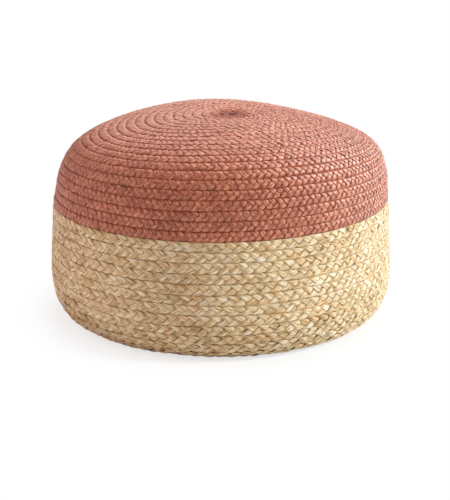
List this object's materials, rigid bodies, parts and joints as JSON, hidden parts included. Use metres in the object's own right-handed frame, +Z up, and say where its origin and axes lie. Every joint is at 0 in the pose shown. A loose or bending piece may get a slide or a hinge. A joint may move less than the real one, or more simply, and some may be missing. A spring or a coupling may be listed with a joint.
{
  "type": "braided floor pouf",
  "caption": "Round stuffed floor pouf covered in a flat plait coiled edge to edge, dyed coral above and natural jute below.",
  "frame": {"origin": "middle of the flat base, on the floor", "axes": "+Z up through the crown; -Y towards the front, the side opposite the braid's splice; +X to the right seen from the front"},
  "size_m": [0.5004, 0.5004, 0.2895],
  "materials": {
    "coral_braid": "dyed coral plant-fibre braid, matt",
    "jute_braid": "natural jute braid, matt, with darker flecks"
  },
  "bodies": {
    "root": {"coral_braid_crown": "coral_braid", "jute_braid_base": "jute_braid"}
  },
  "joints": []
}
